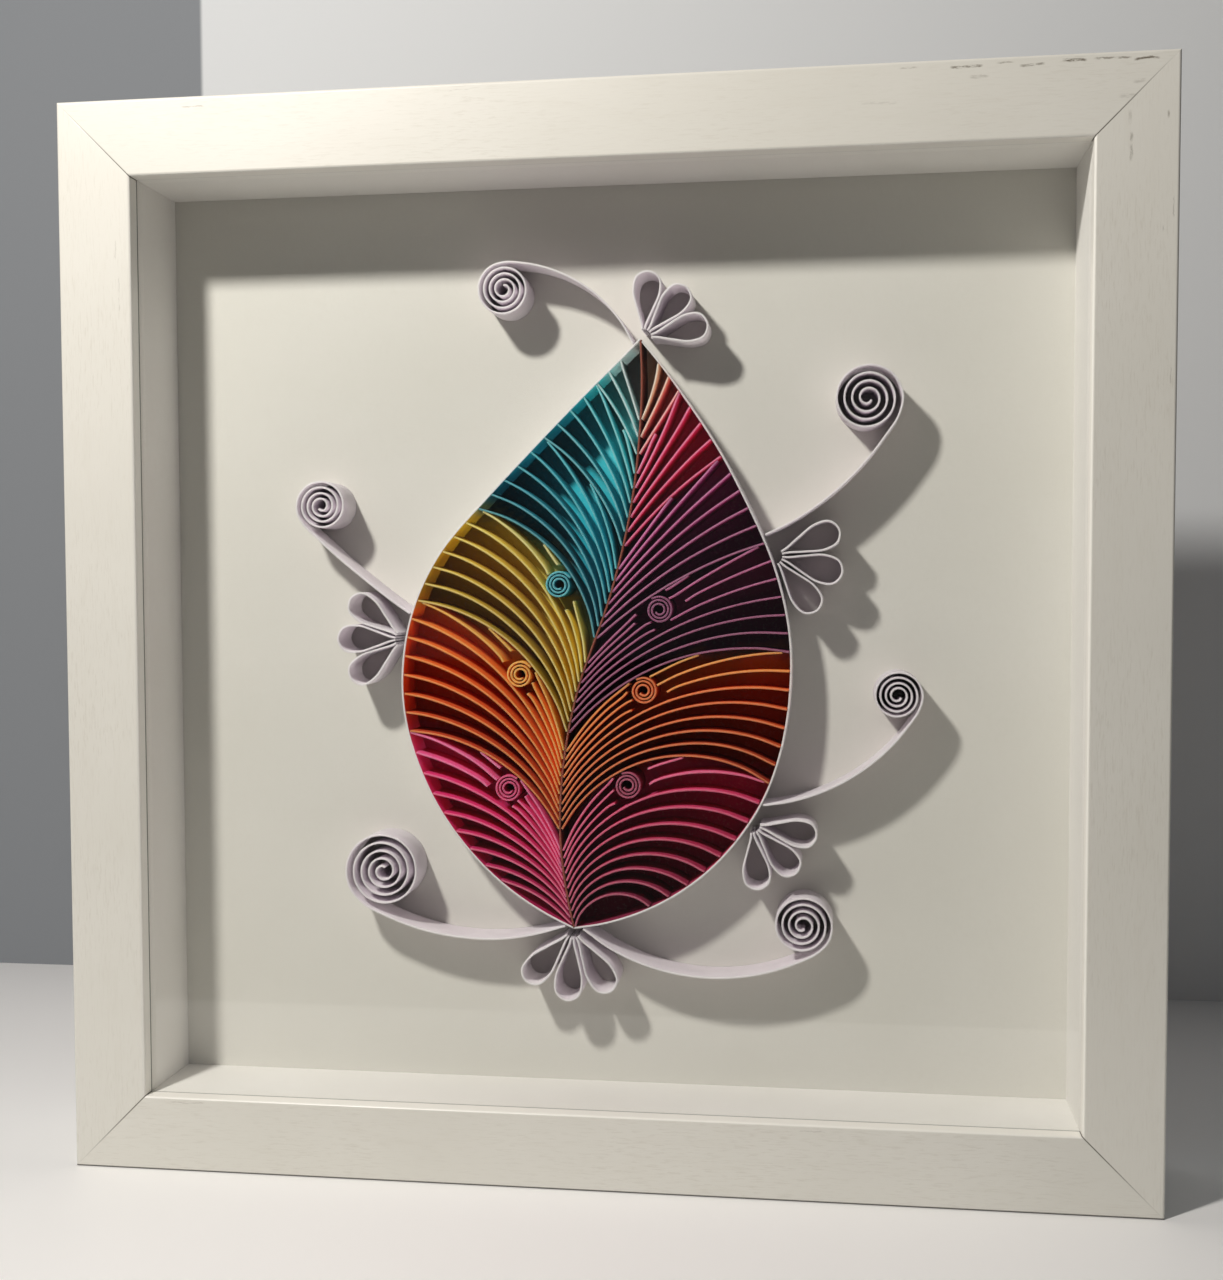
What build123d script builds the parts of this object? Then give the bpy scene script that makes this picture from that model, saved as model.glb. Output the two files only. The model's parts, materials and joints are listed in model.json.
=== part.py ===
from build123d import *
import math
import os

# A framed quilled paper picture: a deep box frame with a glazed front, and a leaf
# of coloured paper strips glued on edge to a card at the back of the box.
# Millimetres. The origin is the middle of the footprint, at the surface the frame
# stands on. +Z is up, and the glazed front looks along -Y.

# Moulding
outer_side = 280.0
frame_depth = 45.0
face_width = 19.6
lip_thickness = 4.5
rebate_width = 5.1
front_arris = 0.7
back_arris = 0.6

# Glazing, liner and backing
glass_thickness = 2.0
pane_clearance = 0.5
liner_depth = 25.0
liner_clearance = 0.2
card_thickness = 1.5
board_thickness = 3.0

# Sprung tabs that hold the back board, and the wedges across the mitres
tab_length = 15.0
tab_width = 7.0
tab_thickness = 0.5
tab_bite = 6.0
tab_spacing = 75.0
tabs_per_rail = 3
wedge_leg = 7.0
wedge_thickness = 0.6
wedge_depth = 9.0

# Quilling paper, its height off the card and the least space between two strips
paper = 0.5
strip_height = 12.5
paper_gap = 0.12

# Leaf, in shares of half the opening from the middle of the card: x to the right, y up
leaf_base_share = (-0.066, -0.631)
leaf_tip_share = (0.083, 0.648)
left_belly_share = (-0.432, -0.216)
left_shoulder_share = (-0.316, 0.249)
right_belly_share = (0.382, -0.249)
right_shoulder_share = (0.349, 0.216)
midrib_middle_share = (-0.025, -0.017)
left_base_heading = 158.0
right_base_heading = 6.0
midrib_heading = 104.0
runs_per_arc = 9

# Fans of ribs: the shares of the midrib and of an edge where each starts and ends, with
# the place where one more would start and end as the last figure
fan_root_shares = (0.0, 0.165, 0.33, 0.495, 0.655, 0.808, 0.94)
left_fan_shares = (0.12, 0.36, 0.54, 0.69, 0.82, 0.92, 0.985)
right_fan_shares = (0.11, 0.35, 0.53, 0.68, 0.81, 0.915, 0.985)
ribs_on_edge = (8, 7, 6, 5, 4, 3)
ribs_in_hollow = (3, 3, 2, 2, 2, 0)
runs_per_rib = (9, 9, 8, 7, 6, 5)
rib_splay_angle = 27.0
root_crowding_share = 0.62
shortest_piece = 2.0
left_fan_names = (
    "crimson_fan",
    "ember_fan",
    "gold_fan",
    "deep_teal_fan",
    "teal_fan",
    "pale_teal_fan",
)
right_fan_names = (
    "burgundy_fan",
    "rust_fan",
    "plum_fan",
    "damson_fan",
    "magenta_fan",
    "coral_fan",
)

# Coils: those in the hollows of the fans, and the scrolls' own
runs_per_turn = 10
eye_radius = 1.1
hollow_coil_radius = 3.8
hollow_coil_turns = 2.75
hollow_coil_share = 0.36
hollow_coil_names = {
    "crimson_fan": "crimson_coil",
    "ember_fan": "amber_coil",
    "gold_fan": "teal_coil",
    "burgundy_fan": "burgundy_coil",
    "rust_fan": "rust_coil",
    "plum_fan": "plum_coil",
}

# Scrolls: edge and share of it where each springs, eye of its coil in shares of half the
# opening, radius, the angle about the eye where the stem meets the coil, hand and turns
runs_per_stem = 8
scrolls = {
    "lower_left_scroll": ("left", 0.012, (-0.498, -0.515), 10.5, 240, -1, 4.5),
    "lower_right_scroll": ("right", 0.012, (0.432, -0.615), 8.0, 300, 1, 4.0),
    "left_scroll": ("left", 0.52, (-0.631, 0.299), 7.0, 226, -1, 4.0),
    "upper_right_scroll": ("right", 0.69, (0.565, 0.515), 9.0, 330, 1, 4.0),
    "top_scroll": ("left", 0.99, (-0.216, 0.764), 7.0, 90, 1, 4.0),
    "right_scroll": ("right", 0.32, (0.631, -0.116), 6.5, 330, 1, 4.0),
}

# Petals: edge and share of it where each group springs, headings, length and width
runs_per_petal = 10
petal_start = 2.2
petals = {
    "base_petals": ("left", 0.0, (228, 265, 302), 19.0, 6.6),
    "left_petals": ("left", 0.485, (143, 180, 217), 18.0, 6.6),
    "upper_right_petals": ("right", 0.66, (22, -15, -52), 18.0, 6.6),
    "right_petals": ("right", 0.29, (-10, -47, -84), 17.0, 6.4),
    "tip_petals": ("right", 1.0, (11, 48, 85), 17.0, 6.4),
}

# Faces and planes that the pieces share
half = outer_side / 2
wall = face_width - rebate_width
front_y = -frame_depth / 2
back_y = frame_depth / 2
lip_back_y = front_y + lip_thickness
glass_back_y = lip_back_y + glass_thickness
card_front_y = glass_back_y + liner_depth
card_back_y = card_front_y + card_thickness
board_back_y = card_back_y + board_thickness
pane_side = 2 * (half - wall - pane_clearance)
half_opening = half - face_width
sides = ("bottom", "right", "top", "left")
rail_turns = {side: count * 360 / len(sides) for count, side in enumerate(sides)}
centre = (0, 0, half)

os.makedirs("parts", exist_ok=True)


def finish(name, builder):
    """Labels a finished piece and writes it."""
    builder.part.label = name
    export_step(builder.part, f"parts/{name}.step")


def across(turn):
    """The section plane of a rail: local x to the back, local y to the frame's middle."""
    angle = math.radians(turn)
    return Plane(origin=centre, x_dir=(0, 1, 0), z_dir=(math.cos(angle), 0, math.sin(angle)))


def facing(turn, y):
    """A plane that faces the front at depth y, turned about the frame's middle."""
    angle = math.radians(turn)
    x_dir = (math.cos(angle), 0, math.sin(angle))
    return Plane(origin=(0, y, half), x_dir=x_dir, z_dir=(0, -1, 0))


# Paths and the strips that follow them


def arc_path(start, heading, end, runs):
    """Points on the arc that leaves start at a heading, in degrees, and reaches end."""
    angle = math.radians(heading)
    chord = math.dist(start, end)
    lean = math.atan2(end[1] - start[1], end[0] - start[0]) - angle
    lean = math.remainder(lean, 2 * math.pi)
    points = [start]
    for step in range(1, runs):
        part_turn = lean * step / runs
        reach = chord * math.sin(part_turn) / math.sin(lean)
        bearing = angle + part_turn
        points.append((start[0] + reach * math.cos(bearing), start[1] + reach * math.sin(bearing)))
    points.append(end)
    return points, heading + 2 * math.degrees(lean)


def arc_chain(start, heading, ends, runs):
    """Tangent arcs through each end in turn."""
    points = [start]
    for end in ends:
        arc, heading = arc_path(points[-1], heading, end, runs)
        points += arc[1:]
    return points


def along(path, distance):
    """The point a distance along a path, and the heading there in degrees."""
    for start, end in zip(path, path[1:]):
        run = math.dist(start, end)
        if distance <= run or end == path[-1]:
            share = distance / run
            x = start[0] + (end[0] - start[0]) * share
            y = start[1] + (end[1] - start[1]) * share
            return (x, y), math.degrees(math.atan2(end[1] - start[1], end[0] - start[0]))
        distance -= run


def path_length(path):
    return sum(math.dist(start, end) for start, end in zip(path, path[1:]))


def step_off(point, heading, distance):
    """The point a distance from another at a heading in degrees."""
    angle = math.radians(heading)
    return (point[0] + distance * math.cos(angle), point[1] + distance * math.sin(angle))


def band(path, width=paper):
    """The outline of a strip seen on edge: half its width to each side of a path."""
    headings = [math.atan2(b[1] - a[1], b[0] - a[0]) for a, b in zip(path, path[1:])]
    headings = [headings[0], *headings, headings[-1]]
    left, right = [], []
    for point, before, after in zip(path, headings, headings[1:]):
        bend = math.remainder(after - before, 2 * math.pi) / 2
        side = math.degrees(before + bend) + 90
        reach = width / 2 / math.cos(bend)
        left.append(step_off(point, side, reach))
        right.append(step_off(point, side, -reach))
    return left + right[::-1]


def stand_strips(name, faces):
    """Strips of paper that stand on the card, as one group of separate pieces."""
    with BuildPart() as strips:
        with BuildSketch(facing(0, card_front_y)):
            add(faces)
        extrude(amount=strip_height)
    finish(name, strips)


# Mitred rails

wedge_elbow = -half + wall / 2
wedge_end = wedge_elbow + wedge_leg
wedge_path = [(wedge_elbow, wedge_end), (wedge_elbow, wedge_elbow), (wedge_end, wedge_elbow)]
wedge_outline = band(wedge_path, wedge_thickness)

for side, turn in rail_turns.items():
    with BuildPart() as rail:
        with BuildSketch(across(turn)) as section:
            with BuildLine():
                Polyline(
                    (front_y, -half),
                    (back_y, -half),
                    (back_y, -half + wall),
                    (lip_back_y, -half + wall),
                    (lip_back_y, -half + face_width),
                    (front_y, -half + face_width),
                    close=True,
                )
            make_face()
            fillet(section.vertices().group_by(Axis.X)[0], front_arris)
            fillet(section.vertices().group_by(Axis.X)[-1], back_arris)
        extrude(amount=half, both=True)
        with BuildSketch(facing(turn, 0)):
            with BuildLine():
                Polyline((-half, -half), (half, -half), (0, 0), close=True)
            make_face()
        extrude(amount=frame_depth, both=True, mode=Mode.INTERSECT)
        with BuildSketch(facing(turn, board_back_y)):
            with Locations((0, -half + wall - tab_bite / 2)):
                with GridLocations(tab_spacing, 0, tabs_per_rail, 1):
                    Rectangle(tab_width, tab_bite)
        extrude(amount=-tab_thickness, mode=Mode.SUBTRACT)
        with BuildSketch(facing(turn, back_y)):
            Polygon(*wedge_outline, align=None)
        extrude(amount=wedge_depth, mode=Mode.SUBTRACT)
        with BuildSketch(facing(turn + rail_turns["right"], back_y)):
            Polygon(*wedge_outline, align=None)
        extrude(amount=wedge_depth, mode=Mode.SUBTRACT)
    finish(f"{side}_rail", rail)

with BuildPart() as wedges:
    for turn in rail_turns.values():
        with BuildSketch(facing(turn, back_y)):
            Polygon(*wedge_outline, align=None)
        extrude(amount=wedge_depth)
finish("corner_wedges", wedges)

with BuildPart() as tabs:
    for turn in rail_turns.values():
        with BuildSketch(facing(turn, board_back_y)):
            with Locations((0, -half + wall - tab_bite + tab_length / 2)):
                with GridLocations(tab_spacing, 0, tabs_per_rail, 1):
                    Rectangle(tab_width, tab_length)
        extrude(amount=-tab_thickness)
finish("retaining_tabs", tabs)

# Glazing, liner boards, card and back board

for name, y, thickness in (
    ("glazing", glass_back_y, glass_thickness),
    ("art_card", card_back_y, card_thickness),
    ("back_board", board_back_y, board_thickness),
):
    with BuildPart() as pane:
        with BuildSketch(facing(0, y)):
            Rectangle(pane_side, pane_side)
        extrude(amount=thickness)
    finish(name, pane)

liner_thickness = rebate_width - liner_clearance
for side, turn in rail_turns.items():
    corner = face_width if side in ("left", "right") else wall + liner_clearance
    with BuildPart() as liner:
        with BuildSketch(facing(turn, card_front_y)):
            with Locations((0, -half + face_width - liner_thickness / 2)):
                Rectangle(2 * (half - corner), liner_thickness)
        extrude(amount=liner_depth)
    finish(f"{side}_liner", liner)

# Leaf outline and midrib


def on_card(share):
    """A point on the card, from its shares of half the opening."""
    return (share[0] * half_opening, share[1] * half_opening)


leaf_base, leaf_tip = on_card(leaf_base_share), on_card(leaf_tip_share)
left_ends = (on_card(left_belly_share), on_card(left_shoulder_share), leaf_tip)
right_ends = (on_card(right_belly_share), on_card(right_shoulder_share), leaf_tip)
left_edge = arc_chain(leaf_base, left_base_heading, left_ends, runs_per_arc)
right_edge = arc_chain(leaf_base, right_base_heading, right_ends, runs_per_arc)
midrib = arc_chain(leaf_base, midrib_heading, (on_card(midrib_middle_share), leaf_tip), runs_per_arc)
clear_width = paper + 2 * paper_gap

stand_strips("midrib", [Polygon(*band(midrib), align=None)])
for name, edge in (("left_outline", left_edge), ("right_outline", right_edge)):
    with BuildSketch() as outline:
        Polygon(*band(edge), align=None)
        Polygon(*band(midrib, clear_width), align=None, mode=Mode.SUBTRACT)
    stand_strips(name, [outline.faces().sort_by(SortBy.AREA)[-1]])

# Coils that sit in the hollow of a fan, against the first rib of the fan above


def coil_path(eye, radius, meeting, hand, turns):
    """A spiral from the rim of a coil, at an angle about its eye, round and in to the eye."""
    steps = round(turns * runs_per_turn)
    inward = (eye_radius - radius) / steps
    swing = hand * 360 * turns / steps
    return [step_off(eye, meeting + swing * step, radius + inward * step) for step in range(steps + 1)]


def hollow_coil(first_rib, splay):
    """Eye and path of the coil that lies against the hollow side of a fan's first rib."""
    hand = math.copysign(1, splay)
    point, heading = along(first_rib, hollow_coil_share * path_length(first_rib))
    eye = step_off(point, heading + hand * 90, hollow_coil_radius + paper / 2 + paper_gap)
    radius = hollow_coil_radius - paper / 2
    return eye, coil_path(eye, radius, heading - hand * 90, hand, hollow_coil_turns)


# Fans of ribs, each trimmed to the room between the midrib, the edge and the next fan


def first_rib(edge, splay, root, stop, runs):
    """The arc of a fan's first rib, from a distance up the midrib to one up the edge."""
    start, heading = along(midrib, root)
    end, _ = along(edge, stop)
    return arc_path(start, heading + splay, end, runs)[0]


def blend(low, high, share):
    """The point at a share of the way from one point to another."""
    return (low[0] + (high[0] - low[0]) * share, low[1] + (high[1] - low[1]) * share)


def rib_path(low, high, root, end, place):
    """A rib between two first ribs, low and high, drawn over to its own root and end.

    place is 0 on the low one and 1 where the rib would end at the high one's end."""
    runs = len(low) - 1
    near = blend(low[0], high[0], place * root_crowding_share)
    far = blend(low[-1], high[-1], place)
    points = []
    for step in range(runs + 1):
        share = step / runs
        crowding = root_crowding_share + (1 - root_crowding_share) * share
        x, y = blend(low[step], high[step], place * crowding)
        x += (root[0] - near[0]) * (1 - share) ** 2 + (end[0] - far[0]) * share**2
        y += (root[1] - near[1]) * (1 - share) ** 2 + (end[1] - far[1]) * share**2
        points.append((x, y))
    return points


def beyond(path, distance):
    """What is left of a path past a distance along it."""
    travelled = 0
    rest = [along(path, distance)[0]]
    for start, end in zip(path, path[1:]):
        travelled += math.dist(start, end)
        if travelled > distance:
            rest.append(end)
    return rest


roots = [share * path_length(midrib) for share in fan_root_shares]
for edge, splay, shares, names in (
    (left_edge, rib_splay_angle, left_fan_shares, left_fan_names),
    (right_edge, -rib_splay_angle, right_fan_shares, right_fan_names),
):
    stops = [share * path_length(edge) for share in shares]
    for count, name in enumerate(names):
        runs = runs_per_rib[count]
        root, next_root = roots[count : count + 2]
        stop, next_stop = stops[count : count + 2]
        topmost = count + 1 == len(names)
        low = first_rib(edge, splay, root, stop, runs)
        high = first_rib(edge, splay, next_root, next_stop, runs)
        with BuildSketch() as field:
            Polygon(*edge, *midrib[-2:0:-1], align=None)
            Polygon(*band(edge, clear_width), align=None, mode=Mode.SUBTRACT)
            Polygon(*band(midrib, clear_width), align=None, mode=Mode.SUBTRACT)
            if not topmost:
                above = first_rib(edge, splay, next_root, next_stop, runs_per_rib[count + 1])
                round_above = beyond(edge, next_stop)[1:] + beyond(midrib, next_root)[-2:0:-1]
                Polygon(*above, *round_above, align=None, mode=Mode.SUBTRACT)
                Polygon(*band(above, clear_width), align=None, mode=Mode.SUBTRACT)
            if name in hollow_coil_names:
                eye, coil = hollow_coil(above, splay)
                with Locations(eye):
                    Circle(hollow_coil_radius + paper_gap, mode=Mode.SUBTRACT)
        ribs = []
        for rib_count in range(ribs_on_edge[count] + ribs_in_hollow[count]):
            place = rib_count / ribs_on_edge[count]
            start, _ = along(midrib, root + (next_root - root) * place * root_crowding_share)
            end, _ = along(edge, stop + (next_stop - stop) * place)
            with BuildSketch() as rib:
                Polygon(*band(rib_path(low, high, start, end, place)), align=None)
                add(field.sketch, mode=Mode.INTERSECT)
            ribs += rib.faces().filter_by(lambda piece: piece.area > shortest_piece * paper)
        stand_strips(name, ribs)
        if name in hollow_coil_names:
            stand_strips(hollow_coil_names[name], [Polygon(*band(coil), align=None)])

# White scrolls, each one strip that runs out from the leaf and rolls up into a coil


def outside(side, share):
    """A point just outside the leaf, at a share of the way up one edge."""
    edge = left_edge if side == "left" else right_edge
    point, heading = along(edge, share * path_length(edge))
    outward = heading + 90 if side == "left" else heading - 90
    return step_off(point, outward, paper + 2 * paper_gap)


def scroll_path(root, eye, radius, meeting, hand, turns):
    """A strip along one arc from its root onto the rim of a coil, then in to the eye."""
    rim = step_off(eye, meeting, radius)
    stem, _ = arc_path(rim, meeting - hand * 90, root, runs_per_stem)
    return stem[::-1] + coil_path(eye, radius, meeting, hand, turns)[1:]


for name, (side, share, eye, radius, meeting, hand, turns) in scrolls.items():
    path = scroll_path(outside(side, share), on_card(eye), radius, meeting, hand, turns)
    stand_strips(name, [Polygon(*band(path), align=None)])

# White petals, each one strip looped back to its root


def petal_path(root, heading, length, width):
    """A drop-shaped loop whose two ends lie side by side, a little way out from the root."""
    spread = (paper + paper_gap) / 2
    turns = [2 * math.pi * step / runs_per_petal for step in range(runs_per_petal + 1)]
    bulges = [math.sin(turn) * math.sin(turn / 2) ** 2 for turn in turns]
    points = []
    for turn, bulge in zip(turns, bulges):
        out = petal_start + (length - petal_start) * (1 - math.cos(turn)) / 2
        aside = spread * math.cos(turn / 2) + width / 2 * bulge / max(bulges)
        point = step_off(root, heading, out)
        points.append(step_off(point, heading + 90, aside))
    return points


for name, (side, share, headings, length, width) in petals.items():
    root = outside(side, share)
    paths = [petal_path(root, heading, length, width) for heading in headings]
    stand_strips(name, [Polygon(*band(path), align=None) for path in paths])
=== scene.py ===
import json
import math

import bmesh
import bpy
from mathutils import Matrix, Vector, kdtree, noise

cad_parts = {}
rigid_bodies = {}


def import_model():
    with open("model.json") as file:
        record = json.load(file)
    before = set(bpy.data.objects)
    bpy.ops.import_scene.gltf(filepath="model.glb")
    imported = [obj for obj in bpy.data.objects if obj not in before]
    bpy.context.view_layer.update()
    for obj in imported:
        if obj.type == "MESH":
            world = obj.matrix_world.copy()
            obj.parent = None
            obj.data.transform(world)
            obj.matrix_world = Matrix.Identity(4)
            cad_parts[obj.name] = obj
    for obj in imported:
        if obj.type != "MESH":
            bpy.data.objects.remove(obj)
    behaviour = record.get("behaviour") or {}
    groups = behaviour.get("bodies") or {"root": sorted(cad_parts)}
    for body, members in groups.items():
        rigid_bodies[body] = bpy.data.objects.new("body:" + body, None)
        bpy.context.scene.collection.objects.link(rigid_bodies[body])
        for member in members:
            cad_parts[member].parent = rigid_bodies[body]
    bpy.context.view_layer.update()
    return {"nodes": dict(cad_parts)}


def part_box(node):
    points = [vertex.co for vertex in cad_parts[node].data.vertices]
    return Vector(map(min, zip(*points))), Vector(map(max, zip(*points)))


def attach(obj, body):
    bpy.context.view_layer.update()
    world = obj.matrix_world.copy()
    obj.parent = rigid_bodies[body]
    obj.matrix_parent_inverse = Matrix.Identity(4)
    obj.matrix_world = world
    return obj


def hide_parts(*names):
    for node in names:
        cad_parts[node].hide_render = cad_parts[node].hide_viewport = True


MM = 0.001
WELD = 0.001 * MM  # vertices nearer than this are one

for thing in list(bpy.data.objects):
    bpy.data.objects.remove(thing)
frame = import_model()
nodes = frame["nodes"]

frame_low, frame_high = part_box("left_rail")[0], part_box("right_rail")[1]
middle_z = (frame_low.z + frame_high.z) / 2
card_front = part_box("art_card")[0].y
glass_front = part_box("glazing")[0].y


def colour(code):
    """A linear colour from a six-figure sRGB code."""
    parts = [int(code[i : i + 2], 16) / 255 for i in (0, 2, 4)]
    return [p / 12.92 if p <= 0.04045 else ((p + 0.055) / 1.055) ** 2.4 for p in parts] + [1.0]


class Look:
    """A material, with short ways to add nodes to it."""

    def __init__(self, name, roughness=0.6, specular=0.4):
        self.material = bpy.data.materials.new(name)
        self.material.use_nodes = True
        self.tree = self.material.node_tree
        self.shader = self.tree.nodes["Principled BSDF"]
        self.shader.inputs["Roughness"].default_value = roughness
        self.shader.inputs["Specular IOR Level"].default_value = specular
        self.place = self.add("ShaderNodeTexCoord").outputs["Object"]

    def add(self, kind, values=None, **settings):
        made = self.tree.nodes.new(kind)
        for key, value in settings.items():
            setattr(made, key, value)
        for key, value in (values or {}).items():
            self.put(made.inputs[key], value)
        return made

    def put(self, socket, value):
        if isinstance(value, bpy.types.NodeSocket):
            self.tree.links.new(value, socket)
        else:
            socket.default_value = value

    def sums(self, kind, *values):
        return self.add("ShaderNodeMath", dict(enumerate(values)), operation=kind).outputs[0]

    def mix(self, share, a, b):
        return self.add("ShaderNodeMix", {0: share, 6: a, 7: b}, data_type="RGBA").outputs[2]

    def stretched(self, scale, turn=(0, 0, 0)):
        values = {"Vector": self.place, "Scale": scale, "Rotation": turn}
        return self.add("ShaderNodeMapping", values).outputs[0]

    def grain(self, scale, detail=3.0, rough=0.55, vector=None, warp=0.0):
        values = {
            "Vector": vector or self.place,
            "Scale": scale,
            "Detail": detail,
            "Roughness": rough,
            "Distortion": warp,
        }
        return self.add("ShaderNodeTexNoise", values).outputs["Fac"]

    def ramp(self, share, *stops):
        made = self.add("ShaderNodeValToRGB", {"Fac": share})
        points = made.color_ramp.elements
        while len(points) < len(stops):
            points.new(0.5)
        for point, (place, value) in zip(points, stops):
            point.position = place
            point.color = value if isinstance(value, list) else [value, value, value, 1]
        return made.outputs["Color"]

    def band(self, share, low, high):
        """0 below low and 1 above high, or the other way round if low is the greater."""
        values = {"Value": share, "From Min": low, "From Max": high}
        return self.add("ShaderNodeMapRange", values, interpolation_type="SMOOTHSTEP").outputs[0]

    def axes(self):
        return self.add("ShaderNodeSeparateXYZ", {0: self.place}).outputs

    def attribute(self, name):
        return self.add("ShaderNodeAttribute", attribute_name=name).outputs["Fac"]

    def paint(self, value):
        self.put(self.shader.inputs["Base Color"], value)

    def rough(self, value):
        self.put(self.shader.inputs["Roughness"], value)

    def bump(self, height, strength, distance):
        values = {"Height": height, "Strength": strength, "Distance": distance}
        self.put(self.shader.inputs["Normal"], self.add("ShaderNodeBump", values).outputs[0])


def dress(node, look):
    """Gives a CAD node one material."""
    for slot in node.material_slots:
        slot.material = look.material


def soften(node, width):
    """Rounds the sharp edges of a CAD node a little, without changing its mesh."""
    weld = node.modifiers.new("weld", "WELD")
    weld.merge_threshold = WELD
    bevel = node.modifiers.new("bevel", "BEVEL")
    bevel.width, bevel.segments = width, 2
    bevel.limit_method, bevel.angle_limit = "ANGLE", math.radians(50)
    node.modifiers.new("normals", "WEIGHTED_NORMAL")


# Places on the wooden frame: half the opening, half the room behind the lip, and the lip's back
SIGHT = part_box("right_liner")[0].x
REBATE = 126.0 * MM
LIP_BACK_Y = -17.9 * MM

# Washed wood: a white foil with fine short flecks along each rail, scuffs near the outer
# edge and a dark hairline in each mitre. The faces behind the lip are bare board.
# Each scuff has a start and an end along the rail and a place across it, in millimetres from
# the middle of the frame, then half its breadth in millimetres and how strong it is.
SCUFFS_ACROSS = (
    (75.0, 79.0, 138.4, 0.18, 0.35), (87.0, 94.0, 138.1, 0.30, 0.75),
    (97.8, 101.5, 138.6, 0.22, 0.45), (103.2, 108.4, 137.7, 0.30, 0.60),
    (113.0, 118.0, 138.4, 0.34, 0.95), (120.2, 128.2, 138.5, 0.26, 0.65),
    (129.4, 134.6, 138.1, 0.30, 0.90), (-105.8, -100.2, 137.2, 0.18, 0.40),
    (-36.0, -31.0, 138.2, 0.14, 0.20), (-113.0, -104.0, -121.6, 0.16, 0.22),
    (52.0, 58.0, -121.9, 0.18, 0.22), (91.5, 95.5, 135.6, 0.45, 0.26),
    (126.0, 129.5, 129.6, 0.55, 0.20), (129.2, 131.6, 133.0, 0.50, 0.24),
    (66.0, 74.0, 130.5, 0.30, 0.14),
)
SCUFFS_UPRIGHT = (
    (114.6, 120.8, 128.7, 0.34, 0.42), (123.0, 126.0, 128.2, 0.40, 0.22),
    (124.2, 125.6, 137.0, 0.26, 0.50), (98.0, 99.2, 136.2, 0.22, 0.35),
    (101.0, 105.5, 138.6, 0.16, 0.30), (62.0, 66.0, 138.4, 0.16, 0.25),
    (99.5, 104.0, -124.6, 0.16, 0.20), (86.0, 94.5, -123.6, 0.16, 0.22),
)
SCUFF_FADE = 0.6 * MM  # at each end


def scuff(look, along, across, start, end, place, breadth, wander):
    """1 on a dash from start to end, at a place across it, and 0 off it."""
    middle, reach = (start + end) / 2 * MM, (end - start) / 2 * MM
    off = look.sums("ABSOLUTE", look.sums("SUBTRACT", along, middle))
    beside = look.sums("SUBTRACT", across, place * MM)
    aside = look.sums("ABSOLUTE", look.sums("ADD", beside, wander))
    long = look.band(off, reach + SCUFF_FADE, reach - SCUFF_FADE)
    return look.sums("MULTIPLY", long, look.band(aside, breadth * 1.4 * MM, breadth * 0.4 * MM))


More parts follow.
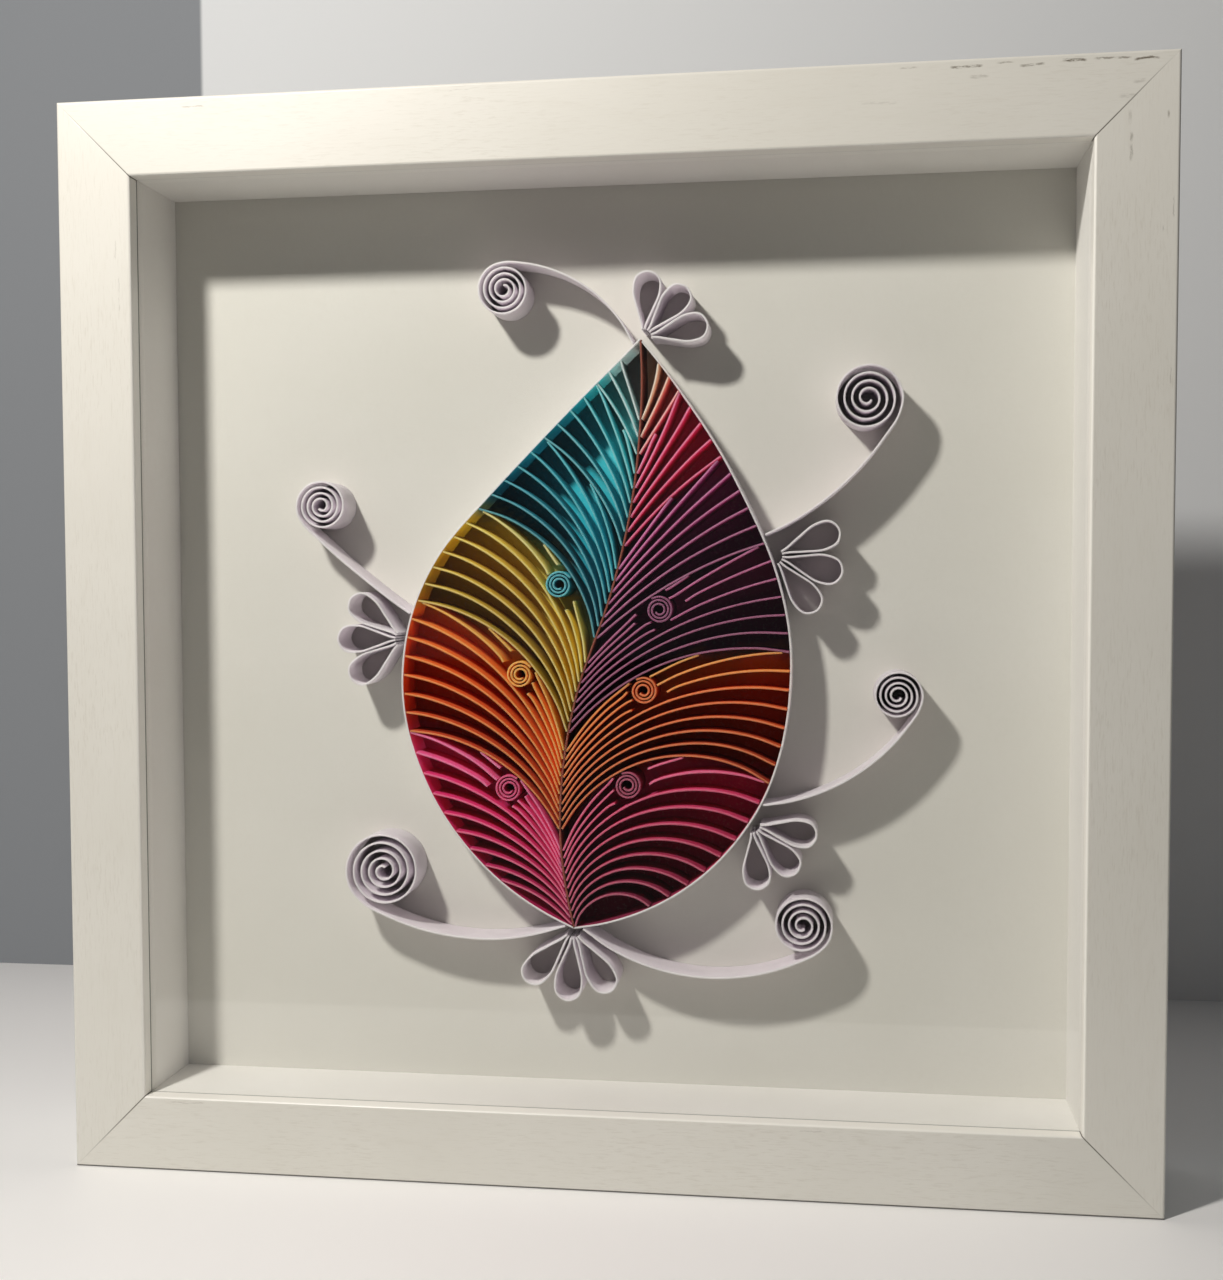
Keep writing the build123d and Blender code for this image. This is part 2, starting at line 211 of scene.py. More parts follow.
def washed_wood(name, along_x, scuffs):
    look = Look(name, 0.4, 0.5)
    look.shader.inputs["Coat Weight"].default_value = 0.25
    look.shader.inputs["Coat Roughness"].default_value = 0.22
    x, y, z = look.axes()[:3]
    up = look.sums("SUBTRACT", z, middle_z)
    side, rise = look.sums("ABSOLUTE", x), look.sums("ABSOLUTE", up)
    out = look.sums("MAXIMUM", side, rise)
    along, across = (x, up) if along_x else (up, x)

    def lengthwise(long_scale, short_scale):
        ends = (long_scale, short_scale) if along_x else (short_scale, long_scale)
        return look.stretched((ends[0], short_scale, ends[1]))

    cloud = look.grain(16.0, 3.0)
    wash = look.ramp(cloud, (0.30, colour("DCDAD1")), (0.70, colour("E2E0D8")))
    fleck = look.grain(1.0, 3.0, 0.65, lengthwise(260, 2300))
    patchy = look.band(look.grain(30.0, 2.0), 0.35, 0.65)
    fleck_share = look.sums("MULTIPLY", look.band(fleck, 0.48, 0.74), look.sums("ADD", patchy, 0.5))
    wash = look.mix(look.sums("MULTIPLY", fleck_share, 0.15), wash, colour("AEA695"))
    pale = look.grain(1.0, 3.0, 0.6, lengthwise(60, 420))
    pale_share = look.sums("MULTIPLY", look.band(pale, 0.50, 0.75), 0.12)
    wash = look.mix(pale_share, wash, colour("CFCABD"))

    # Scuffs, bent and torn along their length, on the front alone
    bend = look.grain(1.0, 4.0, 0.72, lengthwise(130, 40))
    wander = look.sums("MULTIPLY", look.sums("SUBTRACT", bend, 0.5), 1.5 * MM)
    torn = look.band(look.grain(1.0, 3.0, 0.7, lengthwise(420, 2400)), 0.36, 0.56)
    marks = 0.0
    for start, end, place, breadth, share in scuffs:
        mark = scuff(look, along, across, start, end, place, breadth, wander)
        marks = look.sums("MAXIMUM", marks, look.sums("MULTIPLY", mark, share))
    on_front = look.band(y, frame_low.y + 3 * MM, frame_low.y + 1 * MM)
    marks = look.sums("MULTIPLY", look.sums("MULTIPLY", marks, torn), on_front)
    wash = look.mix(marks, wash, colour("5F5442"))

    # Painted contact shadow: a dark line along the edge that the frame stands on
    foot = look.band(z, 0.55 * MM, 0.30 * MM)
    wash = look.mix(look.sums("MULTIPLY", foot, 0.85), wash, colour("322E28"))

    # Painted light: the lip's edge and inner face are painted paler, a painted highlight on the
    # arris and painted light on the inner face that lies in shade
    edge = look.band(out, SIGHT + 0.5 * MM, SIGHT + 0.2 * MM)
    wash = look.mix(edge, wash, colour("F3F1EA"))

    # Bare board at the back and in the rebate
    facing_back = look.band(y, frame_high.y - 0.15 * MM, frame_high.y - 0.05 * MM)
    in_box = look.band(out, REBATE + 0.2 * MM, REBATE - 0.2 * MM)
    inside = look.sums("MULTIPLY", in_box, look.band(y, LIP_BACK_Y, LIP_BACK_Y + 0.3 * MM))
    bare = look.sums("MAXIMUM", facing_back, inside)
    speck = look.grain(900.0, 3.0, 0.7)
    browns = (0.3, colour("8F6E4A")), (0.5, colour("A98860")), (0.7, colour("C2A27A"))
    wash = look.mix(bare, wash, look.ramp(speck, *browns))

    # Hairline of the mitre, stronger towards the opening
    joint = look.sums("ABSOLUTE", look.sums("SUBTRACT", side, rise))
    hair = look.band(joint, 0.30 * MM, 0.08 * MM)
    strength = look.sums("MAXIMUM", look.band(out, 142 * MM, 122 * MM), facing_back)
    hair = look.sums("MULTIPLY", hair, strength)
    look.paint(look.mix(look.sums("MULTIPLY", hair, 0.85), wash, colour("4A4438")))
    look.rough(look.ramp(fleck, (0.3, 0.36), (0.75, 0.50)))
    height = look.sums("ADD", look.sums("MULTIPLY", fleck, 0.5), look.sums("MULTIPLY", hair, -3.0))
    look.bump(height, 0.3, 0.10 * MM)
    return look


wood_across = washed_wood("washed_wood_across", True, SCUFFS_ACROSS)
wood_upright = washed_wood("washed_wood_upright", False, SCUFFS_UPRIGHT)
for side in ("bottom", "top"):
    dress(nodes[side + "_rail"], wood_across)
for side in ("left", "right"):
    dress(nodes[side + "_rail"], wood_upright)


# White boards: the liners' soft card and the picture's own, a warmer sheet with a tooth
def board_look(name, shades, tooth, mottle):
    """Two shades in clouds and a third on the fibres: tooth and mottle are the grains' scales."""
    look = Look(name, 0.85, 0.25)
    fibre = look.grain(tooth, 2.0, 0.65)
    cloud = look.grain(mottle, 3.0)
    tone = look.ramp(cloud, (0.3, colour(shades[0])), (0.7, colour(shades[1])))
    fibre_share = look.sums("MULTIPLY", look.band(fibre, 0.45, 0.75), 0.2)
    look.paint(look.mix(fibre_share, tone, colour(shades[2])))
    look.bump(fibre, 0.25, 0.10 * MM)
    return look


LINER_BOARD = (("F0EEEA", "F5F3F0", "E4E2DC"), 700.0, 30.0)
liner_look = board_look("liner_board", *LINER_BOARD)
for side in ("bottom", "top", "left", "right"):
    dress(nodes[side + "_liner"], liner_look)
    soften(nodes[side + "_liner"], 0.2 * MM)
card_look = board_look("art_card_paper", ("E1DFD8", "E5E3DD", "D6D3CA"), 1300.0, 18.0)
dress(nodes["art_card"], card_look)

# Hardboard at the back: smooth brown face with darker flecks
hardboard = Look("hardboard", 0.6, 0.35)
fleck = hardboard.grain(620.0, 6.0, 0.75)
sweep = hardboard.grain(11.0, 3.0)
browns = (0.32, colour("5E3F27")), (0.5, colour("7E5838")), (0.72, colour("9A7350"))
darker = hardboard.sums("MULTIPLY", hardboard.band(sweep, 0.4, 0.7), 0.3)
hardboard.paint(hardboard.mix(darker, hardboard.ramp(fleck, *browns), colour("6A4A30")))
hardboard.bump(fleck, 0.3, 0.15 * MM)
dress(nodes["back_board"], hardboard)
soften(nodes["back_board"], 0.3 * MM)

# Steel of the tabs and wedges, lightly brushed, with a blued tinge
steel = Look("zinc_steel", 0.38, 0.5)
steel.shader.inputs["Metallic"].default_value = 1.0
brush = steel.grain(1.0, 4.0, 0.6, steel.stretched((300, 2500, 2500)))
steel.paint(steel.ramp(brush, (0.3, colour("8C8E90")), (0.7, colour("B9BABA"))))
steel.rough(steel.ramp(brush, (0.3, 0.30), (0.7, 0.48)))
steel.bump(brush, 0.2, 0.04 * MM)
for name in ("retaining_tabs", "corner_wedges"):
    dress(nodes[name], steel)
    soften(nodes[name], 0.1 * MM)

# Glass: clear, with the reflections of a float pane and faint smears
glass = Look("clear_glass")
tree = glass.tree
tree.nodes.remove(glass.shader)
clear = glass.add("ShaderNodeBsdfTransparent", {"Color": (0.985, 0.99, 0.985, 1)})
gloss = glass.add("ShaderNodeBsdfGlossy", {"Color": (1, 1, 1, 1)})
smear = glass.grain(1.0, 3.0, 0.6, glass.stretched((10, 10, 34), (0, 0.5, 0)), 0.8)
glass.put(gloss.inputs["Roughness"], glass.ramp(smear, (0.45, 0.02), (0.75, 0.10)))
gleam = glass.add("ShaderNodeFresnel", {"IOR": 1.55}).outputs[0]
front_only = glass.sums("SUBTRACT", 1.0, glass.add("ShaderNodeNewGeometry").outputs["Backfacing"])
gleam = glass.sums("MULTIPLY", gleam, front_only)
both = glass.add("ShaderNodeMixShader", {0: gleam, 1: clear.outputs[0], 2: gloss.outputs[0]})
glass.put(tree.nodes["Material Output"].inputs["Surface"], both.outputs[0])
dress(nodes["glazing"], glass)


def slab(name, rings, look):
    """A closed slab as thick as the pane, in place of it.

    rings is one outline of four corners, or an outline and the hole in it."""
    low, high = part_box("glazing")
    verts = [(x, y, z) for y in (low.y, high.y) for ring in rings for x, z in ring]
    half = 4 * len(rings)
    faces = []
    for turn in range(4):
        ahead = (turn + 1) % 4
        faces.append([turn, turn + half, ahead + half, ahead])
        if len(rings) == 2:
            faces.append([turn + 4, ahead + 4, ahead + 4 + half, turn + 4 + half])
            faces.append([turn, ahead, ahead + 4, turn + 4])
            faces.append([turn + half, turn + 4 + half, ahead + 4 + half, ahead + half])
    if len(rings) == 1:
        faces += [[0, 1, 2, 3], [7, 6, 5, 4]]
    mesh = bpy.data.meshes.new(name)
    mesh.from_pydata(verts, [], faces)
    mesh.materials.append(look.material)
    piece = bpy.data.objects.new(name, mesh)
    bpy.context.scene.collection.objects.link(piece)
    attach(piece, "root")
    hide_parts("glazing")


# The pane in its own box: clear inside the opening, and pale edging tape round its border,
# with a fine dark line of painted shade where it ends on the left and at the bottom, standing for
# the shadow in the slit behind the lip
tape = board_look("edging_tape", *LINER_BOARD)
tape_tone = tape.shader.inputs["Base Color"].links[0].from_socket
tape_x, tape_y, tape_z = tape.axes()[:3]
low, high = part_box("glazing")
left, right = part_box("left_liner")[1].x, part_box("right_liner")[0].x
bottom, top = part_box("bottom_liner")[1].z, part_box("top_liner")[0].z
near_left = tape.band(tape_x, left + 0.15 * MM, left + 0.05 * MM)
near_left = tape.sums("MULTIPLY", near_left, 0.7)
near_bottom = tape.band(tape_z, bottom + 0.15 * MM, bottom + 0.05 * MM)
near_bottom = tape.sums("MULTIPLY", near_bottom, 0.45)
near_front = tape.band(tape_y, glass_front + 0.75 * MM, glass_front + 0.45 * MM)
# Painted shade: a dark line along the tape's front edge, strongest on the left and at the bottom
painted_slit_shade = tape.sums("ADD", tape.sums("MAXIMUM", near_left, near_bottom), 0.12)
painted_slit_shade = tape.sums("MULTIPLY", painted_slit_shade, near_front)
tape.paint(tape.mix(painted_slit_shade, tape_tone, colour("3E3B37")))

gap = 0.02 * MM  # between the clear pane and its tape
sight = ((left, bottom), (right, bottom), (right, top), (left, top))
clear_area = (
    (left + gap, bottom + gap), (right - gap, bottom + gap),
    (right - gap, top - gap), (left + gap, top - gap),
)
border = ((low.x, low.z), (high.x, low.z), (high.x, high.z), (low.x, high.z))
slab("clear_pane", (clear_area,), glass)
slab("edging_tape", (border, sight), tape)


# Strips: the centre line of each CAD strip is read back from its rim, drawn as a smooth
# curve and given a paper's section again
PAPER = 0.5 * MM
RIM_BEVEL = 0.04 * MM
RUNG_MOST = 0.75 * MM  # an edge across a strip's rim is shorter
POINT_GAP = 0.5 * MM  # points of a centre line are no closer
SPAN_POINTS = 16  # of the fine curve between two points of a centre line
LEAN = 0.16 * MM  # most that a strip leans to a side
HELD_END = 6 * MM  # the lean grows from none over this length from each end
SAG = 0.10 * MM  # most that a rim dips


def centre_lines(node):
    """Centre lines of a node's strips, as lists of (x, z)."""
    mesh = bmesh.new()
    mesh.from_mesh(node.data)
    bmesh.ops.remove_doubles(mesh, verts=mesh.verts, dist=WELD)
    mesh.normal_update()
    mesh.faces.ensure_lookup_table()
    to_do = {face.index for face in mesh.faces if face.normal.y < -0.9}
    lines = []
    for first in sorted(to_do):
        if first not in to_do:
            continue
        to_do.remove(first)
        patch, waiting = {first}, [first]
        while waiting:
            for edge in mesh.faces[waiting.pop()].edges:
                for other in edge.link_faces:
                    if other.index in to_do:
                        to_do.remove(other.index)
                        patch.add(other.index)
                        waiting.append(other.index)
        lines.append(centre_line(mesh, patch))
    mesh.free()
    return lines


def centre_line(mesh, patch):
    """The line between the two long sides of a strip's rim, from one end to the other."""

    def farthest(start):
        trail = {start: (None, None, 0.0)}
        waiting = [start]
        while waiting:
            here = waiting.pop()
            centre = mesh.faces[here].calc_center_median()
            for edge in mesh.faces[here].edges:
                for other in edge.link_faces:
                    if other.index in patch and other.index not in trail:
                        step = (other.calc_center_median() - centre).length
                        trail[other.index] = (here, edge, trail[here][2] + step)
                        waiting.append(other.index)
        end = max(sorted(trail), key=lambda index: trail[index][2])
        return end, trail

    start, _ = farthest(min(patch))
    end, trail = farthest(start)
    faces, edges = [end], []
    while trail[faces[-1]][0] is not None:
        edges.append(trail[faces[-1]][1])
        faces.append(trail[faces[-1]][0])
    halves = [((edge.verts[0].co + edge.verts[1].co) / 2, edge.calc_length()) for edge in edges]

    def cap(face, inner, toward):
        """The middle of the end edge: the one of the face's others most across the strip."""
        others = [edge for edge in mesh.faces[face].edges if edge != inner]
        lean = []
        for edge in others:
            run = edge.verts[1].co - edge.verts[0].co
            lean.append((abs(run.normalized().dot(toward)), edge.index, edge))
        edge = min(lean)[2]
        return (edge.verts[0].co + edge.verts[1].co) / 2

    mids = [point for point, _ in halves]
    first_way = (mids[0] - mids[min(2, len(mids) - 1)]).normalized()
    last_way = (mids[-1] - mids[max(-3, -len(mids))]).normalized()
    points = [cap(faces[0], edges[0], first_way)]
    points += [point for point, length in halves if length < RUNG_MOST]
    points.append(cap(faces[-1], edges[-1], last_way))
    kept = [points[0]]
    for point in points[1:-1]:
        if min((point - kept[-1]).length, (point - points[-1]).length) > POINT_GAP:
            kept.append(point)
    kept.append(points[-1])
    return [Vector((point.x, point.z)) for point in kept]


def smooth_line(points, step):
    """A curve through the points, as points evenly about a step apart, and its length."""
    if len(points) < 3:
        points = [points[0], (points[0] + points[-1]) / 2, points[-1]]
    ends = [2 * points[0] - points[1], 2 * points[-1] - points[-2]]
    row = [ends[0], *points, ends[1]]
    fine = []
    for a, b, c, d in zip(row, row[1:], row[2:], row[3:]):
        t1 = max((b - a).length, 1e-9) ** 0.5
        t2 = t1 + max((c - b).length, 1e-9) ** 0.5
        t3 = t2 + max((d - c).length, 1e-9) ** 0.5
        for count in range(SPAN_POINTS):
            t = t1 + (t2 - t1) * count / SPAN_POINTS
            ab = a * (t1 - t) / t1 + b * t / t1
            bc = b * (t2 - t) / (t2 - t1) + c * (t - t1) / (t2 - t1)
            cd = c * (t3 - t) / (t3 - t2) + d * (t - t2) / (t3 - t2)
            abc = ab * (t2 - t) / t2 + bc * t / t2
            bcd = bc * (t3 - t) / (t3 - t1) + cd * (t - t1) / (t3 - t1)
            fine.append(abc * (t2 - t) / (t2 - t1) + bcd * (t - t1) / (t2 - t1))
    fine.append(points[-1].copy())
    runs = [(b - a).length for a, b in zip(fine, fine[1:])]
    total = sum(runs)
    count = max(4, round(total / step))
    spaced, travelled, index = [fine[0]], 0.0, 0
    for number in range(1, count):
        goal = total * number / count
        while travelled + runs[index] < goal:
            travelled += runs[index]
            index += 1
        share = (goal - travelled) / runs[index]
        spaced.append(fine[index].lerp(fine[index + 1], share))
    spaced.append(fine[-1])
    return spaced, total


def strip_shell(line, total, depth, seed):
    """Rings of points round a standing strip, each with 1 if it is on the rim and else 0."""
    half = PAPER / 2
    # Offset across the strip, share of the way from the glued foot to the rim, and the mark
    section = [
        (-half, 0.0, 0), (-half, 0.5, 0), (-half, 1.0, 0), (-half + RIM_BEVEL, 1.0, 1),
        (half - RIM_BEVEL, 1.0, 1), (half, 1.0, 0), (half, 0.5, 0), (half, 0.0, 0),
    ]
    rings = []
    for count, point in enumerate(line):
        before, after = line[max(count - 1, 0)], line[min(count + 1, len(line) - 1)]
        way = (after - before).normalized()
        aside = Vector((-way.y, way.x))
        travelled = total * count / (len(line) - 1)
        held = min(1.0, travelled / HELD_END, (total - travelled) / HELD_END)
        lean = LEAN * held * noise.noise(Vector((seed * 7.3, travelled * 55, 0.5)))
        sag = SAG * (0.5 + 0.5 * noise.noise(Vector((seed * 3.1, travelled * 90, 9.5))))
        ring = []
        for offset, level, rim in section:
            drop = sag * level + (RIM_BEVEL if level == 1.0 and not rim else 0.0)
            place = point + aside * (offset + lean * level * level)
            ring.append((Vector((place.x, card_front - depth * level + drop, place.y)), rim))
        rings.append(ring)
    return rings


def strips(name, step, look, order=None, bounce_tinting=None):
    """One piece for a CAD node's strips, with each strip's shade from 0 to 1 and its rim marked.

    The last argument gives a place its tint of painted bounce light from the fans, and 1 where it
    is on the side of the strip that takes it."""
    node = nodes[name]
    depth = card_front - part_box(name)[0].y
    lines = centre_lines(node)
    if order:
        lines.sort(key=order)
    verts, faces, shades, rims = [], [], [], []
    for number, points in enumerate(lines):
        line, total = smooth_line(points, step)
        rings = strip_shell(line, total, depth, number + 0.37 * len(name))
        base, width = len(verts), len(rings[0])
        for ring in rings:
            for place, rim in ring:
                verts.append(place)
                rims.append(float(rim))
                shades.append(number / max(1, len(lines) - 1))
        for row in range(len(rings) - 1):
            for column in range(width):
                a, b = base + row * width + column, base + row * width + (column + 1) % width
                faces.append((a, b, b + width, a + width))
        # Each end is closed by quads between the two sides of the section
        for row, flip in ((0, False), (len(rings) - 1, True)):
            corner = base + row * width
            for low, high in ((0, 7), (1, 6), (2, 5)):
                quad = (corner + low, corner + high, corner + high - 1, corner + low + 1)
                faces.append(quad[::-1] if flip else quad)
    mesh = bpy.data.meshes.new(name + "_paper")
    mesh.from_pydata(verts, [], faces)
    # Painted bounce light: tints from the fans beside the strip, on its side that faces them
    if bounce_tinting:
        tints, bounce_tinted = zip(*[bounce_tinting(place) for place in verts])
        values = [value for tint in tints for value in tint]
        mesh.attributes.new("tint", "FLOAT_COLOR", "POINT").data.foreach_set("color", values)
        bounce_tinted = [inside * (1 - rim) for inside, rim in zip(bounce_tinted, rims)]
        mesh.attributes.new("bounce_tinted", "FLOAT", "POINT").data.foreach_set("value", bounce_tinted)
    for title, values in (("shade", shades), ("rim", rims)):
        mesh.attributes.new(title, "FLOAT", "POINT").data.foreach_set("value", values)
    made = bmesh.new()
    made.from_mesh(mesh)
    bmesh.ops.recalc_face_normals(made, faces=made.faces)
    made.to_mesh(mesh)
    made.free()
    mesh.polygons.foreach_set("use_smooth", [True] * len(mesh.polygons))
    mesh.set_sharp_from_angle(angle=math.radians(52))
    mesh.materials.append(look.material)
    piece = bpy.data.objects.new(name + "_paper", mesh)
    bpy.context.scene.collection.objects.link(piece)
    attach(piece, "root")
    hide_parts(name)


GLOW = 2.0 * MM  # how far light spreads through a sheet
# Painted highlight: a cut rim is painted paler, with this share of its pale tint
RIM_HIGHLIGHT_SHARE = 0.38  # of the paler tint that a cut rim shows


def paper_look(name, stops, rim_highlight_tint, bounce_tinted=False):
    """Coloured paper: stops run over the strips of a group, and the cut rim is painted paler as a
    painted highlight; a strip's inner side may take painted bounce light from the fans.
    """
    look = Look(name, 0.72, 0.3)
    look.shader.inputs["Subsurface Weight"].default_value = 1.0
    look.shader.inputs["Subsurface Radius"].default_value = (1.0, 1.0, 1.0)
    look.shader.inputs["Subsurface Scale"].default_value = GLOW
    shade = look.attribute("shade")
    places = [count / max(1, len(stops) - 1) for count in range(len(stops))]
    base = look.ramp(shade, *[(place, colour(code)) for place, code in zip(places, stops)])
    fibre = look.grain(1500.0, 2.0, 0.65)
    cloud = look.grain(120.0, 2.0)
    darker = look.sums("MULTIPLY", look.band(cloud, 0.35, 0.70), 0.08)
    base = look.mix(darker, base, colour("000000"))
    paler = look.sums("MULTIPLY", look.band(fibre, 0.55, 0.80), 0.08)
    base = look.mix(paler, base, colour("FFFFFF"))
    # Painted bounce light: the side of a strip that faces the fans takes their colours
    if bounce_tinted:
        tint = look.add("ShaderNodeAttribute", attribute_name="tint").outputs["Color"]
        base = look.mix(look.attribute("bounce_tinted"), base, tint)
    # Painted highlight: the rim is painted paler than the rest of the strip
    rim = look.mix(RIM_HIGHLIGHT_SHARE, base, colour(rim_highlight_tint))
    look.paint(look.mix(look.attribute("rim"), base, rim))
    look.bump(fibre, 0.3, 0.05 * MM)
    return look


# The papers of each fan from its lowest rib up, and the paler tint painted on its rims as a painted
# highlight
fans = {
    "crimson_fan": (("A51950", "D82568", "EF3B7D", "F9689C"), "F59AB0"),
    "ember_fan": (("B93D1B", "E75C20", "F98434", "FCAF4E"), "FFBE78"),
    "gold_fan": (("AF8F27", "D8AF38", "EDCE55", "F8E386"), "F8E4A8"),
    "deep_teal_fan": (("146979", "19889B", "25A3B4", "3DBAC9"), "8CCAD0"),
    "teal_fan": (("2091A0", "2FADBC", "4EC6D0", "71D8DD"), "A6DADD"),
    "pale_teal_fan": (("72D0D5", "A7E4E6", "D0F3F2"), "E0F2F0"),
    "burgundy_fan": (("7C1E3E", "AC2850", "CF3968", "E55681"), "DA8A9E"),
    "rust_fan": (("A03419", "CF4E1E", "ED6D27", "F79542"), "FFAC78"),
    "plum_fan": (("682046", "903365", "B04E81"), "C08EA8"),
    "damson_fan": (("752656", "A33977", "C5589A"), "CC9AB4"),
    "magenta_fan": (("D62063", "F13D7A", "FB6695"), "F8A6BC"),
    "coral_fan": (("F97184", "FDA393", "FECFB1"), "FDE0CE"),
}
# The paper of each small coil, and the paler tint painted on its rim as a painted highlight
coils = {
    "crimson_coil": ("C32A63", "EE88A6"),
    "amber_coil": ("EF9131", "FFC27E"),
    "teal_coil": ("2093A5", "92CED4"),
    "burgundy_coil": ("8A2A47", "CC8098"),
    "rust_coil": ("D45A2A", "FFA06E"),
    "plum_coil": ("732C55", "B884A2"),
}


def root_height(points):
    """Orders ribs by where they leave the midrib."""
    return min(points[0].y, points[-1].y)


for name, (stops, tint) in fans.items():
    strips(name, 1.5 * MM, paper_look(name + "_paper", stops, tint), root_height)
for name, (code, tint) in coils.items():
    strips(name, 0.5 * MM, paper_look(name + "_paper", (code, code), tint))


# The colours of the fans at any place, from the ribs nearest to it
def stop_colour(stops, share):
    """The colour at a share of the way through a row of stops."""
    place = share * (len(stops) - 1)
    index = min(int(place), len(stops) - 2)
    low, high = colour(stops[index]), colour(stops[index + 1])
    return [a + (b - a) * (place - index) for a, b in zip(low, high)]


def rib_marks():
    """Points along every rib of the fans, with the colour of the rib."""
    marks = []
    for name, (stops, _) in fans.items():
        lines = sorted(centre_lines(nodes[name]), key=root_height)
        for number, points in enumerate(lines):
            tint = stop_colour(stops, number / max(1, len(lines) - 1))
            marks += [(point, tint) for point in smooth_line(points, 1.0 * MM)[0]]
    return marks


NEAR_MARKS = 8  # that a place takes its colour from
NEAR_BLUR = 0.6  # in millimetres

marks = rib_marks()
nearby = kdtree.KDTree(len(marks))
for index, (point, _) in enumerate(marks):
    nearby.insert((point.x, point.y, 0), index)
nearby.balance()


def fan_tint(x, height):
    """A blend of the colours of the ribs nearest to a place."""
    near = nearby.find_n((x, height, 0), NEAR_MARKS)
    weights = [1 / (distance / MM + NEAR_BLUR) ** 2 for _, _, distance in near]
    blend = [0.0, 0.0, 0.0]
    for (_, index, _), weight in zip(near, weights):
        for channel in range(3):
            blend[channel] += marks[index][1][channel] * weight / sum(weights)
    return [*blend, 1.0]


def edge_reach(name):
    """How far out a leaf edge is at a height, with the heights that it spans."""
    line = smooth_line(centre_lines(nodes[name])[0], 0.5 * MM)[0]
    line = sorted(line, key=lambda point: point.y)

    def reach(height):
        for low, high in zip(line, line[1:]):
            if height <= high.y:
                share = (height - low.y) / max(high.y - low.y, 1e-9)
                return low.x + (high.x - low.x) * max(0.0, share)
        return line[-1].x

    return reach, line[0].y, line[-1].y


left_reach, leaf_bottom, leaf_top = edge_reach("left_outline")
right_reach = edge_reach("right_outline")[0]


def leaf_side(place):
    """The tint at a point of an outline, and 1 where it faces into the leaf."""
    inside = left_reach(place.z) < place.x < right_reach(place.z)
    return fan_tint(place.x, place.z), float(inside)


white_paper = paper_look("white_quilling_paper", ("E1D6E0", "E7DDE5"), "F9F6F8")
# The outline's inner faces are painted in the colours of the fans beside them, as painted bounce
# light from the ribs
outline_paper = paper_look("white_outline_paper", ("E6E2E6", "E6E2E6"), "F8F7F5", bounce_tinted=True)
brown_paper = paper_look("brown_midrib_paper", ("4A1A14", "4A1A14"), "C0705A")
for name in ("left_outline", "right_outline"):
    strips(name, 2.0 * MM, outline_paper, bounce_tinting=leaf_side)
strips("midrib", 2.0 * MM, brown_paper)
for name in sorted(nodes):
    if name.endswith("_scroll"):
        strips(name, 0.8 * MM, white_paper)
    elif name.endswith("_petals"):
        strips(name, 0.7 * MM, white_paper)


# Painted bounce light on the leaf's floor: a thin sheet on the card, in the colours of the ribs on
# it, standing for the coloured light that the ribs throw into the wells
GROUND = 0.15 * MM
GROUND_ROWS, GROUND_COLUMNS = 150, 60
GROUND_FOOT, GROUND_HEAD = 0.4 * MM, 0.8 * MM  # short of the leaf's two ends
ROW_SPREAD = 1.3  # above 1, the rows are closer together at the foot
# Painted light: the sheet's tints are lifted paler to make up for the ribs' shade on it
TINT_POWER = 1.9  # above 1, the ground is brighter than the ribs that shade it


def leaf_painted_bounce():
    """The sheet: a front with the tints, a wall round it and one face on the card."""
    verts, tints = [], []
    for row in range(GROUND_ROWS + 1):
        span = leaf_top - leaf_bottom - (GROUND_FOOT + GROUND_HEAD)
        height = leaf_bottom + GROUND_FOOT + span * (row / GROUND_ROWS) ** ROW_SPREAD
        low, high = left_reach(height) + PAPER / 2, right_reach(height) - PAPER / 2
        for column in range(GROUND_COLUMNS + 1):
            x = low + (high - low) * column / GROUND_COLUMNS
            verts.append((x, card_front - GROUND, height))
            tint = [1 - (1 - value) ** TINT_POWER for value in fan_tint(x, height)[:3]]
            tints.append(tint + [1.0])
    width = GROUND_COLUMNS + 1
    faces = []
    for row in range(GROUND_ROWS):
        for column in range(GROUND_COLUMNS):
            a = row * width + column
            faces.append((a, a + 1, a + width + 1, a + width))
    ring = list(range(width))
    ring += [row * width + width - 1 for row in range(1, GROUND_ROWS + 1)]
    ring += [GROUND_ROWS * width + column for column in range(width - 2, -1, -1)]
    ring += [row * width for row in range(GROUND_ROWS - 1, 0, -1)]
    base = len(verts)
    for index in ring:
        x, _, height = verts[index]
        verts.append((x, card_front, height))
        tints.append(tints[index])
    for count in range(len(ring)):
        after = (count + 1) % len(ring)
        faces.append((ring[after], ring[count], base + count, base + after))
    faces.append(tuple(range(base + len(ring) - 1, base - 1, -1)))
    mesh = bpy.data.meshes.new("leaf_painted_bounce")
    mesh.from_pydata(verts, [], faces)
    values = [value for tint in tints for value in tint]
    mesh.attributes.new("tint", "FLOAT_COLOR", "POINT").data.foreach_set("color", values)
    look = Look("leaf_ground_paper", 0.8, 0.25)
    tint = look.add("ShaderNodeAttribute", attribute_name="tint").outputs["Color"]
    fibre = look.grain(1300.0, 2.0, 0.65)
    paler = look.sums("MULTIPLY", look.band(fibre, 0.50, 0.78), 0.10)
    look.paint(look.mix(paler, tint, colour("FFFFFF")))
    look.bump(fibre, 0.3, 0.05 * MM)
    mesh.materials.append(look.material)
    piece = bpy.data.objects.new("leaf_painted_bounce", mesh)
    bpy.context.scene.collection.objects.link(piece)
    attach(piece, "root")


leaf_painted_bounce()


# Stage: a pale table that ends at a wall, painted grey on the left as painted shade for a side wall
# out of the lamp's light, and pale from its corner on
REACH = 3  # metres that the stage runs each way
WALL_Y = 0.206
WALL_CORNER_X = -0.186


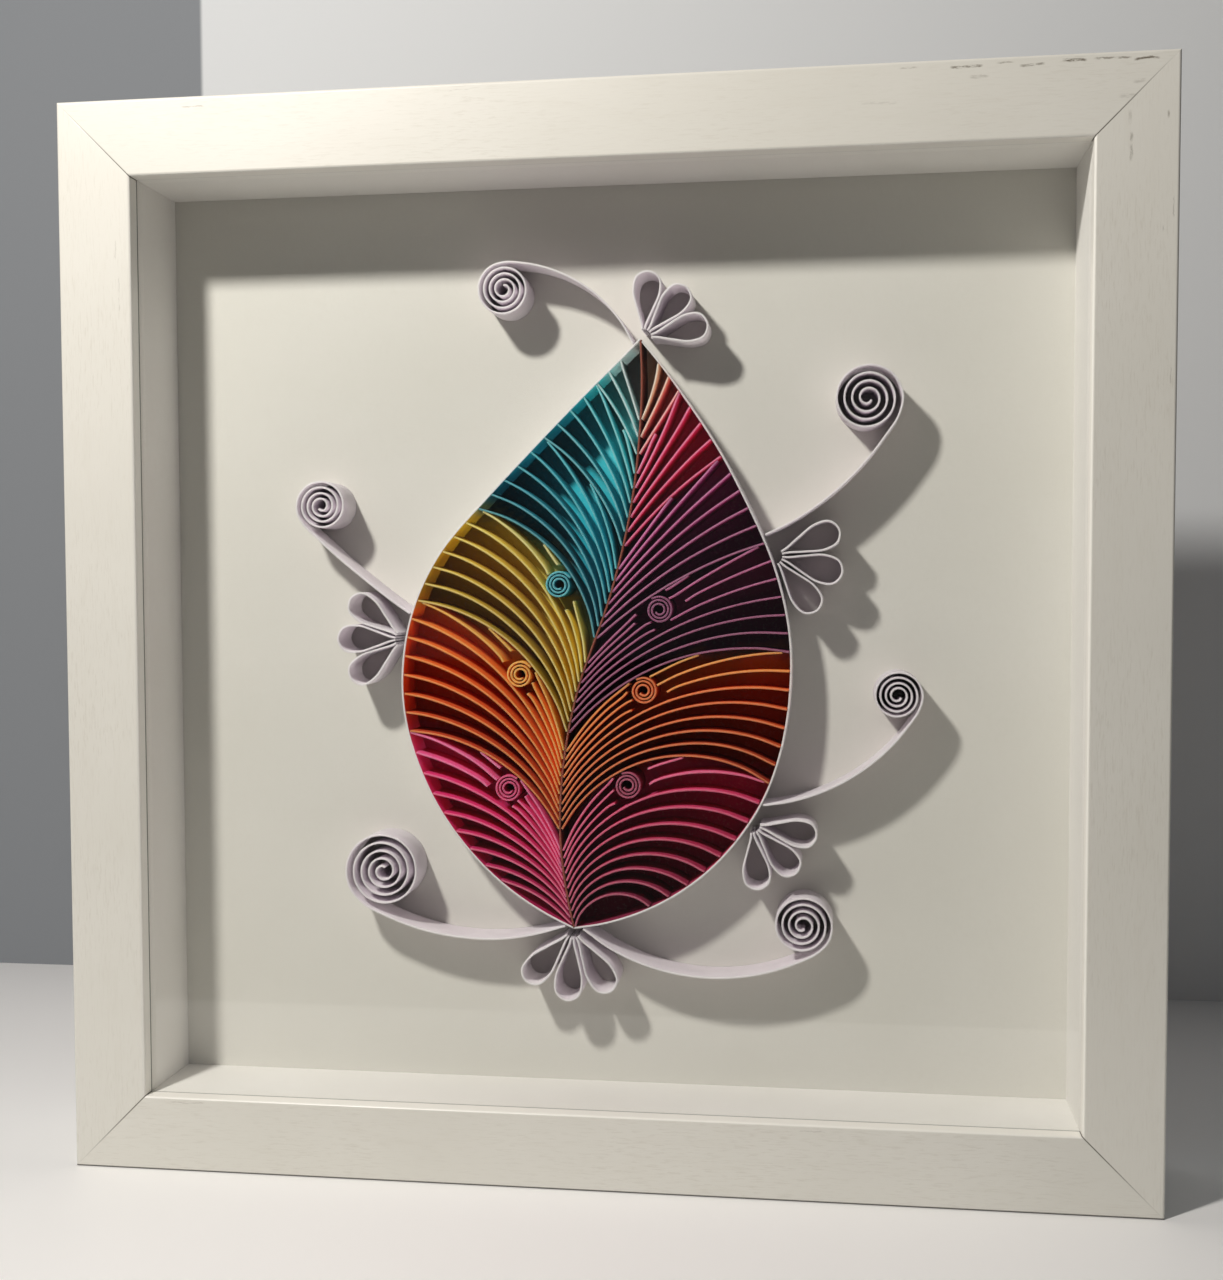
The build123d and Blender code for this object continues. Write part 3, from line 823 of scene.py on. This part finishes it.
def plane(name, corners, look):
    mesh = bpy.data.meshes.new(name)
    mesh.from_pydata(corners, [], [tuple(range(len(corners)))])
    mesh.materials.append(look.material)
    made = bpy.data.objects.new(name, mesh)
    bpy.context.scene.collection.objects.link(made)


# The table is pale to a little in front of the frame, and dark from there on
TABLE_FRONT_Y = -0.19
table = Look("table", 0.5, 0.3)
pale_top = table.ramp(table.grain(3.0), (0.3, colour("F8F8F7")), (0.7, colour("FBFAFA")))
dark_part = table.band(table.axes()[1], TABLE_FRONT_Y, TABLE_FRONT_Y - 4 * MM)
table.paint(table.mix(dark_part, pale_top, colour("4C4A48")))
corners = [(-REACH, -REACH, 0), (REACH, -REACH, 0), (REACH, WALL_Y, 0), (-REACH, WALL_Y, 0)]
plane("table_top", corners, table)

# The wall shows from its front alone, so that it hides nothing from behind
wall = Look("wall", 0.9, 0.1)
across = wall.axes()[0]
# Painted shade: left of its corner the wall is painted grey, standing for a side wall in shade
tone = wall.band(across, WALL_CORNER_X - 1 * MM, WALL_CORNER_X + 1 * MM)
wall.paint(wall.mix(tone, colour("8E9297"), colour("E4E7E9")))
gone = wall.add("ShaderNodeBsdfTransparent").outputs[0]
behind = wall.add("ShaderNodeNewGeometry").outputs["Backfacing"]
shown = wall.add("ShaderNodeMixShader", {0: behind, 1: wall.shader.outputs[0], 2: gone}).outputs[0]
wall.put(wall.tree.nodes["Material Output"].inputs["Surface"], shown)
corners = [(x, WALL_Y, z) for x, z in ((-REACH, 0), (REACH, 0), (REACH, REACH), (-REACH, REACH))]
plane("wall_face", corners, wall)

world = bpy.data.worlds.new("room")
bpy.context.scene.world = world
world.use_nodes = True
sky = world.node_tree.nodes["Background"]
sky.inputs["Color"].default_value = (0.94, 0.97, 1.0, 1)
sky.inputs["Strength"].default_value = 0.09

# One small lamp, high on the left in front of the frame
LAMP_PLACE = (-0.225, -0.3725, 0.516)
key = bpy.data.lights.new("key", "POINT")
key.energy, key.color = 11.9, (1.0, 0.955, 0.90)
key.shadow_soft_size = 24 * MM
lamp = bpy.data.objects.new("key", key)
lamp.location = LAMP_PLACE
toward = Vector((0, 0, middle_z)) - Vector(LAMP_PLACE)
lamp.rotation_euler = toward.to_track_quat("-Z", "Y").to_euler()
lamp.visible_camera = False
bpy.context.scene.collection.objects.link(lamp)

# Camera at the photograph's viewing place, with its own right, up and backward directions
CAMERA_PLACE = (0.0601, -0.4504, 0.1558)
camera = bpy.data.cameras.new("camera")
camera.lens, camera.sensor_width = 48.44, 36.0
camera.shift_x, camera.shift_y = 0.0309, 0.0254
camera.clip_start = 0.01
view = bpy.data.objects.new("camera", camera)
bpy.context.scene.collection.objects.link(view)
right, up, back = (0.9885, 0.1510, -0.0037), (-0.0044, 0.0532, 0.9986), (0.1509, -0.9871, 0.0532)
turn = Matrix((right, up, back)).transposed().to_4x4()
view.matrix_world = Matrix.Translation(CAMERA_PLACE) @ turn
bpy.context.scene.camera = view
bpy.context.scene.view_settings.view_transform = "Standard"
